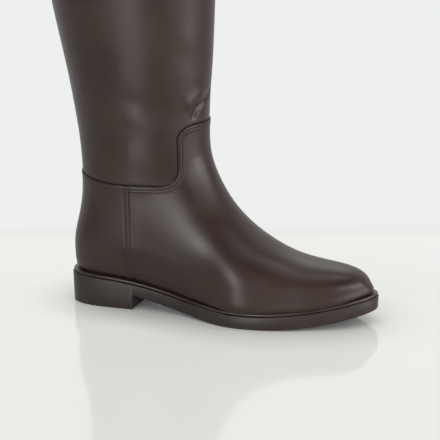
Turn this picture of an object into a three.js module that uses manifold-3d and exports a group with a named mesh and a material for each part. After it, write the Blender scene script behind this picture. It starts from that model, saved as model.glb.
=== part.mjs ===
// A right knee-high riding boot: one moulded sole with its heel, a welt, an insole, and a leather
// upper made of vamp, quarter and shaft over the shape of the last.
// Millimetres: +X runs from heel to toe, +Y to the inner side of the leg, +Z up from the floor.
import * as THREE from "three";
import { mergeVertices } from "three/addons/utils/BufferGeometryUtils.js";
import Module from "manifold-3d";

const wasm = await Module();
wasm.setup();

// Driving dimensions.
const soleLength = 268; // back of the heel to the tip of the toe
const ballWidth = 86; // across the outsole at the ball
const heelHeight = 26; // floor to the top of the outsole, at the back
const instepHeight = 90.3; // floor to the top of the instep
const bootHeight = 420; // floor to the collar
const heelLength = 62; // back of the heel to its breast
const waistRise = 13.6; // underside of the waist above the floor, at the breast
const toeSpring = 12.7; // underside of the toe above the floor
const treadFrom = 162; // the forefoot is flat on the floor from here
const treadTo = 176; // to here
const wall = 2; // leather with its lining
const gap = 0.3; // between pieces that touch
const weltRise = 2.6; // top of the outsole to the foot of the upper
const weltReveal = 4; // from the edge of the sole in to the upper
const weltWidth = 12; // from the edge of the sole in to the inner edge of the welt
const weltInset = 0.8; // the welt stands back from the edge of the sole
const edgeTaper = 1.2; // the tread stands back from the top of the sole's edge
const insoleThickness = 3;
const insoleBevel = 2.4; // the edge of the insole leans in this far to follow the upper
const tuckHeight = 35; // the upper reaches its full width within this height of its foot

// Half-widths of the sole either side of its long axis, as shares of ballWidth.
const soleOutline = [
  { x: 0.0, outer: 0.334, inner: 0.331 }, // heel
  { x: 0.127, outer: 0.328, inner: 0.326 },
  { x: 0.239, outer: 0.321, inner: 0.32 }, // breast
  { x: 0.403, outer: 0.366, inner: 0.302 }, // waist
  { x: 0.56, outer: 0.512, inner: 0.372 },
  { x: 0.672, outer: 0.509, inner: 0.455 }, // outer ball
  { x: 0.746, outer: 0.485, inner: 0.49 }, // inner ball
  { x: 0.851, outer: 0.43, inner: 0.484 },
  { x: 1.0, outer: 0.362, inner: 0.451 }, // toe
];
const heelRound = { length: 41, power: 2.8 }; // how the outline closes at the back
const toeRound = { outer: { length: 102, power: 1.92 }, inner: { length: 84, power: 2.25 } }; // and at the toe
const toeSwing = 6.2; // the tip of the toe lies this far to the inner side

// Height of the top of the outsole, as shares of heelHeight.
const soleTopLine = [
  { x: 0.0, z: 1.0 },
  { x: 0.231, z: 0.865 }, // breast
  { x: 0.41, z: 0.554 },
  { x: 0.616, z: 0.431 }, // ball
  { x: 0.802, z: 0.535 },
  { x: 1.0, z: 0.908 }, // toe
];

// Sections of the foot, each from a point on top of it down to its edge on the sole. topX and lowX are
// shares of soleLength, topZ of instepHeight; outer and inner say how far the upper swells out past its
// edge, as shares of ballWidth. widest is how far down the section its widest point lies, and squareTop
// and squareLow are superellipse powers.
const footSections = [
  { topX: 0.985, topZ: 0.321, lowX: 0.985, outer: 0, inner: 0, widest: 0.55, squareTop: 2.2, squareLow: 2.4 }, // toe
  { topX: 0.983, topZ: 0.333, lowX: 0.981, outer: 0, inner: 0, widest: 0.55, squareTop: 2.2, squareLow: 2.4 },
  { topX: 0.977, topZ: 0.386, lowX: 0.97, outer: 0, inner: 0, widest: 0.55, squareTop: 2.2, squareLow: 2.4 },
  { topX: 0.965, topZ: 0.452, lowX: 0.951, outer: 0.002, inner: 0.002, widest: 0.55, squareTop: 2.2, squareLow: 2.4 },
  { topX: 0.935, topZ: 0.498, lowX: 0.922, outer: 0.006, inner: 0.005, widest: 0.58, squareTop: 2.2, squareLow: 2.4 },
  { topX: 0.887, topZ: 0.537, lowX: 0.873, outer: 0.008, inner: 0.006, widest: 0.62, squareTop: 2.2, squareLow: 2.4 },
  { topX: 0.806, topZ: 0.563, lowX: 0.802, outer: 0.01, inner: 0.006, widest: 0.66, squareTop: 2.2, squareLow: 2.4 },
  { topX: 0.71, topZ: 0.639, lowX: 0.709, outer: 0.01, inner: 0.006, widest: 0.68, squareTop: 2.1, squareLow: 2.4 }, // ball
  { topX: 0.614, topZ: 0.788, lowX: 0.597, outer: 0.065, inner: 0.116, widest: 0.66, squareTop: 2.05, squareLow: 2.2 },
  { topX: 0.541, topZ: 1, lowX: 0.47, outer: 0.092, inner: 0.175, widest: 0.62, squareTop: 2, squareLow: 1.8 }, // instep
  { topX: 0.496, topZ: 1.215, lowX: 0.328, outer: 0.165, inner: 0.179, widest: 0.58, squareTop: 2, squareLow: 1.5 },
  { topX: 0.471, topZ: 1.406, lowX: 0.172, outer: 0.159, inner: 0.158, widest: 0.54, squareTop: 2, squareLow: 1.35 },
  { topX: 0.463, topZ: 1.556, lowX: 0.015, outer: 0.148, inner: 0.151, widest: 0.5, squareTop: 2, squareLow: 1.3 }, // heel
];

// Sections of the leg, each from the shin to the back. topX and lowX are shares of soleLength, topZ and
// lowZ of bootHeight, half (the half-width) of ballWidth. round is the length, in mm, over which the
// section closes at the back.
const legSections = [
  { topX: 0.459, topZ: 0.36, lowX: 0.014, lowZ: 0.124, half: 0.44, round: 40 },
  { topX: 0.457, topZ: 0.386, lowX: 0.037, lowZ: 0.2, half: 0.451, round: 48 },
  { topX: 0.459, topZ: 0.417, lowX: 0.044, lowZ: 0.286, half: 0.466, round: 56 }, // ankle
  { topX: 0.462, topZ: 0.452, lowX: 0.031, lowZ: 0.362, half: 0.487, round: 62 },
  { topX: 0.47, topZ: 0.514, lowX: 0.003, lowZ: 0.476, half: 0.533, round: 66 },
  { topX: 0.479, topZ: 0.624, lowX: -0.043, lowZ: 0.624, half: 0.579, round: 68 },
  { topX: 0.491, topZ: 0.798, lowX: -0.069, lowZ: 0.798, half: 0.613, round: 70 }, // calf
  { topX: 0.496, topZ: 1, lowX: -0.053, lowZ: 1, half: 0.6, round: 70 }, // collar
];
const legPower = 2; // superellipse power of the leg's sections, reached at legPowerFrom
const legPowerFrom = 150;

// The seam between the shaft and the foot, seen from the side, and the one between quarter and vamp.
const shaftSeam = { backZ: 120, dipX: 60, dipZ: 112.5, stepX: 106, frontZ: 163.5, radius: 13 };
const quarterSeamX = 62;

const footRings = 3; // between two sections
const heelRings = 8;
const legRings = 2;
const pointsPerSide = 14;
const backBunching = 2.5; // draws the points of a ring together towards its low end
const soleStations = 40;
const archSteps = 12;
const cutReach = 90; // half-width of the bodies that cut the seams

// A natural cubic spline through (xs, ys).
function splineThrough(xs, ys) {
  const last = xs.length - 1;
  const bend = new Array(last + 1).fill(0);
  const carry = new Array(last + 1).fill(0);
  for (let i = 1; i < last; i++) {
    const ratio = (xs[i] - xs[i - 1]) / (xs[i + 1] - xs[i - 1]);
    const pivot = ratio * bend[i - 1] + 2;
    const turn = (ys[i + 1] - ys[i]) / (xs[i + 1] - xs[i]) - (ys[i] - ys[i - 1]) / (xs[i] - xs[i - 1]);
    bend[i] = (ratio - 1) / pivot;
    carry[i] = (6 * turn / (xs[i + 1] - xs[i - 1]) - ratio * carry[i - 1]) / pivot;
  }
  bend[last] = 0;
  for (let i = last - 1; i >= 0; i--) {
    bend[i] = bend[i] * bend[i + 1] + carry[i];
  }
  return (x) => {
    let i = 0;
    while (i < last - 1 && x > xs[i + 1]) {
      i++;
    }
    const step = xs[i + 1] - xs[i];
    const a = (xs[i + 1] - x) / step;
    const b = 1 - a;
    return a * ys[i] + b * ys[i + 1] + ((a ** 3 - a) * bend[i] + (b ** 3 - b) * bend[i + 1]) * step ** 2 / 6;
  };
}

// A spline through one column of a table, with x and the column scaled up from shares.
function column(table, name, scale) {
  return splineThrough(table.map((row) => row.x * soleLength), table.map((row) => row[name] * scale));
}

const outerHalf = column(soleOutline, "outer", ballWidth);
const innerHalf = column(soleOutline, "inner", ballWidth);
const soleTop = column(soleTopLine, "z", heelHeight);
const feather = (x) => soleTop(x) + weltRise; // the edge that the upper stands on

const axisAt = (x) => toeSwing * THREE.MathUtils.clamp((x - 150) / (soleLength - 150), 0, 1) ** 2;

// How far a superellipse quarter has opened, from 0 at its end to 1 at share 1.
const opening = (share, power) => (1 - (1 - THREE.MathUtils.clamp(share, 0, 1)) ** power) ** (1 / power);

// Half-widths of the sole at x, stepped in by inset, with its heel end left open.
function halfWidths(x, inset) {
  const close = (side) => opening((soleLength - inset - x) / toeRound[side].length, toeRound[side].power);
  return {
    outer: (outerHalf(x) - inset + axisAt(x)) * close("outer"),
    inner: (innerHalf(x) - inset - axisAt(x)) * close("inner"),
  };
}

// The sole's edge at x, stepped in by inset: its outer and inner y.
function outline(x, inset) {
  const close = opening((x - inset) / heelRound.length, heelRound.power);
  const half = halfWidths(x, inset);
  return { outer: axisAt(x) - half.outer * close, inner: axisAt(x) + half.inner * close };
}

// The underside of the sole forward of the heel: the waist comes down to the tread and the toe lifts.
function underside(x) {
  const waist = THREE.MathUtils.clamp((treadFrom - x) / (treadFrom - heelLength), 0, 1);
  const toe = THREE.MathUtils.clamp((x - treadTo) / (soleLength - treadTo), 0, 1);
  return waistRise * waist ** 2 + toeSpring * toe ** 2;
}

// A closed mesh as a solid, with its doubled points merged and its empty triangles left out.
function solidFrom(points, triangles) {
  const loose = new THREE.BufferGeometry();
  loose.setAttribute("position", new THREE.Float32BufferAttribute(points.flat(), 3));
  loose.setIndex(triangles.flat());
  return solidOf(loose);
}

function solidOf(geometry) {
  geometry.deleteAttribute("normal");
  geometry.deleteAttribute("uv");
  const merged = mergeVertices(geometry, 1e-4);
  const index = merged.index.array;
  const kept = [];
  for (let i = 0; i < index.length; i += 3) {
    const [a, b, c] = index.slice(i, i + 3);
    if (a !== b && b !== c && c !== a) {
      kept.push(a, b, c);
    }
  }
  const vertProperties = new Float32Array(merged.attributes.position.array);
  return new wasm.Manifold(new wasm.Mesh({ numProp: 3, vertProperties, triVerts: new Uint32Array(kept) }));
}

// Joins the rings of a body, each an array of points in the same order, and closes its two ends.
function loft(rings) {
  const count = rings[0].length;
  const triangles = [];
  const quad = (a, b, c, d) => triangles.push([a, b, c], [a, c, d]);
  for (let r = 0; r < rings.length - 1; r++) {
    for (let i = 0; i < count; i++) {
      const next = (i + 1) % count;
      quad(r * count + i, r * count + next, (r + 1) * count + next, (r + 1) * count + i);
    }
  }
  const end = (rings.length - 1) * count;
  for (let i = 0; i < count / 2 - 1; i++) {
    quad(count - 1 - i, count - 2 - i, i + 1, i);
    quad(end + i, end + i + 1, end + count - 2 - i, end + count - 1 - i);
  }
  return solidFrom(rings.flat(), triangles);
}

// A slab of the sole's outline between the surfaces low and high, each { inset, z(x) }.
function slab(low, high, from = 0, to = soleLength) {
  const rings = [];
  for (let i = 0; i <= soleStations; i++) {
    const share = (1 - Math.cos(Math.PI * i / soleStations)) / 2;
    const corners = [low, high].map((face) => {
      const start = Math.max(from, face.inset);
      const x = start + (Math.min(to, soleLength - face.inset) - start) * share;
      return { x, z: face.z(x), ...outline(x, face.inset) };
    });
    const [bottom, top] = corners;
    rings.push([
      [bottom.x, bottom.outer, bottom.z],
      [bottom.x, bottom.inner, bottom.z],
      [top.x, top.inner, top.z],
      [top.x, top.outer, top.z],
    ]);
  }
  return loft(rings);
}

const cornerRow = footSections.length - 1; // the section that meets the back of the heel
const rows = footSections.map((row) => {
  const lowX = row.lowX * soleLength;
  const topZ = row.topZ * instepHeight;
  const edge = halfWidths(Math.min(lowX, soleLength - weltReveal), weltReveal);
  return {
    ...row,
    topX: row.topX * soleLength,
    topZ,
    lowX,
    lowZ: feather(lowX),
    outer: edge.outer + row.outer * ballWidth,
    inner: edge.inner + row.inner * ballWidth,
    tuck: Math.min(tuckHeight, (1 - row.widest) * (topZ - feather(lowX))),
  };
}).concat(legSections.map((row) => ({
  topX: row.topX * soleLength,
  topZ: row.topZ * bootHeight,
  lowX: row.lowX * soleLength,
  lowZ: row.lowZ * bootHeight,
  outer: row.half * ballWidth,
  inner: row.half * ballWidth,
  widest: 0.5,
  squareTop: legPower,
  squareLow: footSections[cornerRow].squareLow,
  tuck: tuckHeight,
})));

function rowSpline(name, first = 0, last = rows.length - 1) {
  const steps = rows.slice(first, last + 1).map((row, i) => first + i);
  return splineThrough(steps, rows.slice(first, last + 1).map((row) => row[name]));
}

const along = {};
for (const name of ["topX", "topZ", "outer", "inner", "widest", "squareTop", "squareLow", "tuck"]) {
  along[name] = rowSpline(name);
}
const soleX = rowSpline("lowX", 0, cornerRow);
const backX = rowSpline("lowX", cornerRow);
const backZ = rowSpline("lowZ", cornerRow);

// The back of the boot by height: where it stands, and how its sections close there.
const backRows = rows.slice(cornerRow);
const backHeights = backRows.map((row) => row.lowZ);
const backAt = splineThrough(backHeights, backRows.map((row) => row.lowX));
const roundAt = splineThrough(backHeights, [heelRound.length, ...legSections.map((row) => row.round)]);

function closeAtBack(x, z) {
  const height = Math.max(z, backHeights[0]);
  const power = THREE.MathUtils.mapLinear(
    Math.min(height, legPowerFrom), backHeights[0], legPowerFrom, heelRound.power, legPower,
  );
  return opening((x - backAt(height)) / roundAt(height), power);
}

// The section at place t along the rows.
function sectionAt(t) {
  const section = {};
  for (const name in along) {
    section[name] = along[name](t);
  }
  if (t > cornerRow) {
    return { ...section, lowX: backX(t), lowZ: backZ(t) };
  }
  const lowX = THREE.MathUtils.clamp(soleX(t), weltReveal, soleLength - weltReveal);
  return { ...section, lowX, lowZ: feather(lowX) };
}

// A point of the last's surface: u runs from -1 (outer edge) over 0 (top) to 1 (inner edge).
function surfacePoint(t, u) {
  const section = sectionAt(t);
  const side = u < 0 ? "outer" : "inner";
  const angle = Math.abs(u) * Math.PI;
  const onTop = angle <= Math.PI / 2;
  const topPower = 2 / section.squareTop;
  const down = onTop
    ? section.widest * (1 - Math.cos(angle) ** topPower)
    : 1 - (1 - section.widest) * (2 - 2 * Math.abs(u)) ** backBunching;
  const x = THREE.MathUtils.lerp(section.topX, section.lowX, down);
  const z = THREE.MathUtils.lerp(section.topZ, section.lowZ, down);
  let half = section[side] * Math.sin(angle) ** topPower;
  if (!onTop) {
    const edge = halfWidths(Math.min(x, soleLength - weltReveal), weltReveal)[side];
    const swell = opening((z - feather(x)) / section.tuck, section.squareLow);
    half = THREE.MathUtils.lerp(edge, section[side], swell) * closeAtBack(x, z);
  }
  return new THREE.Vector3(x, axisAt(section.lowX) + Math.sign(u) * half, z);
}

// The same point moved in by depth, square to the surface.
function skinPoint(t, u, depth) {
  const reach = 0.02;
  const alongFoot = surfacePoint(t + reach, u).sub(surfacePoint(t - reach, u));
  const atBack = Math.abs(u) === 1 && t > cornerRow;
  const from = atBack ? 1 - reach : Math.max(-1, u - reach);
  const to = atBack ? reach - 1 : Math.min(1, u + reach);
  const around = surfacePoint(t, to).sub(surfacePoint(t, from));
  return surfacePoint(t, u).addScaledVector(alongFoot.cross(around).normalize(), depth);
}

// Places of the rings along the rows, close together where the sections swing round the heel.
const places = [];
for (let row = 0; row < rows.length - 1; row++) {
  const atHeel = row === cornerRow - 1;
  const steps = atHeel ? heelRings : (row < cornerRow ? footRings : legRings);
  for (let i = 0; i < steps; i++) {
    places.push(row + (atHeel ? Math.sin(Math.PI / 2 * i / steps) : i / steps));
  }
}
places.push(rows.length - 1);
const turns = Array.from({ length: 2 * pointsPerSide + 1 }, (_, i) => i / pointsPerSide - 1);

function outsideBody() {
  return loft(places.map((t) => turns.map((u) => surfacePoint(t, u).toArray())));
}

// The hollow of the upper, carried on through its opening in the sole and through the collar.
function insideBody() {
  const through = 2 * wall;
  const inset = weltReveal + wall;
  const rings = places.filter((t) => t >= 1).map((t) => {
    const ring = turns.map((u) => skinPoint(t, u, wall).toArray());
    if (t <= cornerRow) {
      const x = THREE.MathUtils.clamp(sectionAt(t).lowX, inset, soleLength - inset - wall);
      const edge = outline(x, inset);
      ring[0] = [x, edge.outer, feather(x) - through];
      ring[ring.length - 1] = [x, edge.inner, feather(x) - through];
    }
    return ring;
  });
  rings.push(rings.pop().map(([x, y, z]) => [x, y, z + through]));
  return loft(rings);
}

// A shape of the side view carried right across the boot.
function acrossBoot(side, shiftX = 0, shiftZ = 0) {
  const prism = new THREE.ExtrudeGeometry(side, { depth: 2 * cutReach, bevelEnabled: false, curveSegments: 6 });
  prism.rotateX(Math.PI / 2);
  prism.translate(shiftX, cutReach, shiftZ);
  return solidOf(prism);
}

// The part of the boot's side view that lies below the shaft's seam, moved by (shiftX, shiftZ).
function footSide(shiftX, shiftZ) {
  const { backZ: back, dipX, dipZ, stepX, frontZ, radius } = shaftSeam;
  const side = new THREE.Shape();
  side.moveTo(-cutReach, -cutReach);
  side.lineTo(-cutReach, back);
  side.lineTo(0, back);
  side.quadraticCurveTo(dipX / 2, dipZ, dipX, dipZ);
  side.lineTo(stepX - radius, dipZ);
  side.absarc(stepX - radius, dipZ + radius, radius, -Math.PI / 2, 0, false);
  side.lineTo(stepX, frontZ - radius);
  side.absarc(stepX + radius, frontZ - radius, radius, Math.PI, Math.PI / 2, true);
  side.lineTo(soleLength + cutReach, frontZ);
  side.lineTo(soleLength + cutReach, -cutReach);
  return acrossBoot(side, shiftX, shiftZ);
}

// A tall block over the length of the boot from one x to another.
function block(from, to) {
  const box = new THREE.BoxGeometry(to - from, 2 * cutReach, 4 * bootHeight);
  box.translate((from + to) / 2, 0, 0);
  return solidOf(box);
}

// What is cut away under the sole between two places along it, down to past the floor.
function underCut(from, to, fromFloor, toFloor) {
  const side = new THREE.Shape();
  side.moveTo(from, fromFloor);
  for (let i = 0; i <= archSteps; i++) {
    const x = THREE.MathUtils.lerp(from, to, i / archSteps);
    side.lineTo(x, underside(x));
  }
  side.lineTo(to, toFloor);
  return acrossBoot(side);
}

function outsoleSolid() {
  const block = slab({ inset: edgeTaper, z: () => 0 }, { inset: 0, z: soleTop });
  const waist = underCut(heelLength, treadFrom, -waistRise, -waistRise);
  const toe = underCut(treadTo, soleLength + edgeTaper, -toeSpring, -toeSpring);
  const bed = slab(
    { inset: weltWidth + gap, z: (x) => soleTop(x) - 1 },
    { inset: weltWidth + gap, z: (x) => feather(x) - gap },
  );
  return block.subtract(waist).subtract(toe).add(bed);
}

function weltSolid() {
  const low = (x) => soleTop(x) + gap;
  const high = (x) => feather(x) - gap;
  const strip = slab({ inset: weltInset, z: low }, { inset: weltInset, z: high });
  const middle = slab(
    { inset: weltWidth, z: (x) => low(x) - 1 },
    { inset: weltWidth, z: (x) => high(x) + 1 },
  );
  return strip.subtract(middle);
}

function insoleSolid() {
  const inset = weltReveal + wall + 3 * gap; // clear of the flat facets of the upper's foot
  const top = { inset: inset + insoleBevel, z: (x) => feather(x) + insoleThickness };
  return slab({ inset, z: feather }, top, 0, soleLength - inset - wall);
}

function upperSolid() {
  return outsideBody().subtract(insideBody());
}

const upper = upperSolid();
const foot = upper.intersect(footSide(gap / 2, -gap / 2));
const leather = { color: 0x443430, roughness: 0.5, metalness: 0 };
const rubber = { color: 0x403734, roughness: 0.65, metalness: 0 };
const pieces = {
  outsole: { solid: outsoleSolid(), look: rubber },
  welt: { solid: weltSolid(), look: { ...leather, color: 0x4c3c37 } },
  insole: { solid: insoleSolid(), look: { color: 0x9a7b5f, roughness: 0.8, metalness: 0 } },
  vamp: { solid: foot.intersect(block(quarterSeamX + gap / 2, soleLength + cutReach)), look: leather },
  quarter: { solid: foot.intersect(block(-cutReach, quarterSeamX - gap / 2)), look: leather },
  shaft: { solid: upper.subtract(footSide(-gap / 2, gap / 2)), look: leather },
};

const boot = new THREE.Group();
for (const [name, { solid, look }] of Object.entries(pieces)) {
  const { vertProperties, triVerts } = solid.getMesh();
  const geometry = new THREE.BufferGeometry();
  geometry.setAttribute("position", new THREE.BufferAttribute(vertProperties, 3));
  geometry.setIndex(new THREE.BufferAttribute(triVerts, 1));
  geometry.computeVertexNormals();
  const mesh = new THREE.Mesh(geometry, new THREE.MeshStandardMaterial(look));
  mesh.name = name;
  boot.add(mesh);
}

// The origin is on the floor at the middle of the boot's box.
const box = new THREE.Box3().setFromObject(boot);
const middle = box.getCenter(new THREE.Vector3());
boot.position.set(-middle.x, -middle.y, -box.min.z);

export default boot;
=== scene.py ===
import math

import bmesh
import bpy
import numpy as np
from mathutils import Matrix, Vector
from mathutils.kdtree import KDTree


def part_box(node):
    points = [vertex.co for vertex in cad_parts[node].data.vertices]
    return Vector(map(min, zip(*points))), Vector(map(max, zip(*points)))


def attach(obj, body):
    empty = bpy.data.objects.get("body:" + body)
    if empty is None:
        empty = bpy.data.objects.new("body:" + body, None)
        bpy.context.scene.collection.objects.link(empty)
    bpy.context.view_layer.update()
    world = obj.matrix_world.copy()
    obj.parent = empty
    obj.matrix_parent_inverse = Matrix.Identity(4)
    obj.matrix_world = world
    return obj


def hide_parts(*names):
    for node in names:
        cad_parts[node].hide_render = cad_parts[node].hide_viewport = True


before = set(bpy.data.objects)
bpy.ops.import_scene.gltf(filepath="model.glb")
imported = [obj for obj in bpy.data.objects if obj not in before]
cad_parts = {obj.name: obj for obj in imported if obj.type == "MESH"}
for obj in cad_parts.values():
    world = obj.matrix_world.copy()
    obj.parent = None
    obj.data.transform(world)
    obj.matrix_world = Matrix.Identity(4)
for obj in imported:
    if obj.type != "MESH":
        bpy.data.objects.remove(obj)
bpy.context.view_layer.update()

# the last: the sizes and sections that the whole boot follows, in millimetres

last = {
    "length": 268,  # back of the heel to the tip of the toe
    "ball": 86,  # across the outsole
    "heel": 26,  # floor to the top of the outsole, at the back
    "instep": 90.3,
    "height": 420,
    "heelLength": 62,
    "waistRise": 13.6,
    "toeSpring": 12.7,
    "tread": (162, 176),  # the forefoot is flat on the floor between these
    "weltRise": 2.6,
    "reveal": 4,  # from the edge of the sole in to the upper
    "tuck": 35,
    "heelRound": (41, 2.8),  # length and power of the outline's closing
    "outerToe": (102, 1.92),
    "innerToe": (84, 2.25),
    "toeSwing": (150, 6.2),  # where the middle line starts to swing inwards, and how far it gets
    "backRoundTop": 150,  # height at which the back has become a plain ellipse
    "wrap": 2.5,  # power of the way round under the widest place
}

# x, outer and inner half-width, as shares of the length and the ball width
soleOutline = [
    (0.0, 0.334, 0.331),  # heel
    (0.127, 0.328, 0.326),
    (0.239, 0.321, 0.32),  # breast
    (0.403, 0.366, 0.302),  # waist
    (0.56, 0.512, 0.372),
    (0.672, 0.509, 0.455),
    (0.746, 0.485, 0.49),
    (0.851, 0.43, 0.484),
    (1.0, 0.362, 0.451),  # toe
]
# x, height of the top of the outsole, as shares of the length and the heel height
soleTopLine = [(0.0, 1.0), (0.231, 0.865), (0.41, 0.554), (0.616, 0.431), (0.802, 0.535), (1.0, 0.908)]

# top x, top z, low x, outer and inner swell, how far down the widest place is, powers above and below it
footSections = [
    (0.985, 0.321, 0.985, 0, 0, 0.55, 2.2, 2.4),  # toe
    (0.983, 0.333, 0.981, 0, 0, 0.55, 2.2, 2.4),
    (0.977, 0.386, 0.97, 0, 0, 0.55, 2.2, 2.4),
    (0.965, 0.452, 0.951, 0.002, 0.002, 0.55, 2.2, 2.4),
    (0.935, 0.498, 0.922, 0.006, 0.005, 0.58, 2.2, 2.4),
    (0.887, 0.537, 0.873, 0.008, 0.006, 0.62, 2.2, 2.4),
    (0.806, 0.563, 0.802, 0.01, 0.006, 0.66, 2.2, 2.4),
    (0.71, 0.639, 0.709, 0.01, 0.006, 0.68, 2.1, 2.4),  # ball
    (0.614, 0.788, 0.597, 0.065, 0.116, 0.66, 2.05, 2.2),
    (0.541, 1, 0.47, 0.092, 0.175, 0.62, 2, 1.8),  # instep
    (0.496, 1.215, 0.328, 0.165, 0.179, 0.58, 2, 1.5),
    (0.471, 1.406, 0.172, 0.159, 0.158, 0.54, 2, 1.35),
    (0.463, 1.556, 0.015, 0.148, 0.151, 0.5, 2, 1.3),  # heel
]
# top x, top z, low x, low z, half-width, and the length in mm over which the back is rounded
legSections = [
    (0.459, 0.36, 0.014, 0.124, 0.44, 40),
    (0.457, 0.386, 0.037, 0.2, 0.451, 48),
    (0.459, 0.417, 0.044, 0.286, 0.466, 56),  # ankle
    (0.462, 0.452, 0.031, 0.362, 0.487, 62),
    (0.47, 0.514, 0.003, 0.476, 0.533, 66),
    (0.479, 0.624, -0.043, 0.624, 0.579, 68),
    (0.491, 0.798, -0.069, 0.798, 0.613, 70),  # calf
    (0.496, 1, -0.053, 1, 0.6, 70),  # collar
]

outsoleLow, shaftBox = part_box("outsole")[0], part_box("shaft")
origin = np.array([outsoleLow.x, (shaftBox[0].y + shaftBox[1].y) / 2, 0.0])


def place(points):
    # millimetres from the back of the heel to metres in the row frame
    return np.asarray(points, float) / 1000 + origin


def splineThrough(xs, ys):
    xs, ys = np.asarray(xs, float), np.asarray(ys, float)
    steps = np.diff(xs)
    count = len(xs)
    system, right = np.eye(count), np.zeros(count)
    for i in range(1, count - 1):
        system[i, i - 1 : i + 2] = steps[i - 1] / 6, (steps[i - 1] + steps[i]) / 3, steps[i] / 6
        right[i] = (ys[i + 1] - ys[i]) / steps[i] - (ys[i] - ys[i - 1]) / steps[i - 1]
    bend = np.linalg.solve(system, right)

    def value(x):
        x = np.asarray(x, float)
        i = np.clip(np.searchsorted(xs, x, side="left") - 1, 0, count - 2)
        step = steps[i]
        a = (xs[i + 1] - x) / step
        b = 1 - a
        curve = ((a**3 - a) * bend[i] + (b**3 - b) * bend[i + 1]) * step**2 / 6
        return a * ys[i] + b * ys[i + 1] + curve

    return value


def opening(share, power):
    return (1 - (1 - np.clip(share, 0, 1)) ** power) ** (1 / power)


soleX = [row[0] * last["length"] for row in soleOutline]
outerHalf = splineThrough(soleX, [row[1] * last["ball"] for row in soleOutline])
innerHalf = splineThrough(soleX, [row[2] * last["ball"] for row in soleOutline])
soleTopX = [row[0] * last["length"] for row in soleTopLine]
soleTop = splineThrough(soleTopX, [row[1] * last["heel"] for row in soleTopLine])


def feather(x):
    return soleTop(x) + last["weltRise"]


def axisAt(x):
    start, swing = last["toeSwing"]
    return swing * np.clip((x - start) / (last["length"] - start), 0, 1) ** 2


def halfWidth(x, inset, side):
    # side is -1 for the outer side and 1 for the inner one
    length, power = last["outerToe"] if side < 0 else last["innerToe"]
    half = outerHalf(x) if side < 0 else innerHalf(x)
    return (half - inset - side * axisAt(x)) * opening((last["length"] - inset - x) / length, power)


def outlineAt(x, inset, side):
    close = opening((x - inset) / last["heelRound"][0], last["heelRound"][1])
    return axisAt(x) + side * halfWidth(x, inset, side) * close


def underside(x):
    start, end = last["tread"]
    waist = np.clip((start - x) / (start - last["heelLength"]), 0, 1)
    toe = np.clip((x - end) / (last["length"] - end), 0, 1)
    return last["waistRise"] * waist**2 + last["toeSpring"] * toe**2


cornerRow = len(footSections) - 1
collarRow = cornerRow + len(legSections)


def buildRows():
    rows = []
    for topX, topZ, lowX, outer, inner, widest, squareTop, squareLow in footSections:
        lowX = lowX * last["length"]
        topZ = topZ * last["instep"]
        atEdge = min(lowX, last["length"] - last["reveal"])
        lowZ = float(feather(lowX))
        rows.append({
            "topX": topX * last["length"],
            "topZ": topZ,
            "lowX": lowX,
            "lowZ": lowZ,
            "outer": float(halfWidth(atEdge, last["reveal"], -1)) + outer * last["ball"],
            "inner": float(halfWidth(atEdge, last["reveal"], 1)) + inner * last["ball"],
            "widest": widest,
            "squareTop": squareTop,
            "squareLow": squareLow,
            "tuck": min(last["tuck"], (1 - widest) * (topZ - lowZ)),
        })
    for topX, topZ, lowX, lowZ, half, _ in legSections:
        rows.append({
            "topX": topX * last["length"],
            "topZ": topZ * last["height"],
            "lowX": lowX * last["length"],
            "lowZ": lowZ * last["height"],
            "outer": half * last["ball"],
            "inner": half * last["ball"],
            "widest": 0.5,
            "squareTop": 2,
            "squareLow": footSections[-1][7],
            "tuck": last["tuck"],
        })
    return rows


rows = buildRows()
rowSplines = {name: splineThrough(range(len(rows)), [row[name] for row in rows]) for name in rows[0]}
lowXFoot = splineThrough(range(cornerRow + 1), [row["lowX"] for row in rows[: cornerRow + 1]])
legSteps = range(cornerRow, len(rows))
lowXLeg = splineThrough(legSteps, [row["lowX"] for row in rows[cornerRow:]])
lowZLeg = splineThrough(legSteps, [row["lowZ"] for row in rows[cornerRow:]])
backHeights = [row["lowZ"] for row in rows[cornerRow:]]
backAt = splineThrough(backHeights, [row["lowX"] for row in rows[cornerRow:]])
backRound = splineThrough(backHeights, [last["heelRound"][0]] + [row[5] for row in legSections])


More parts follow.
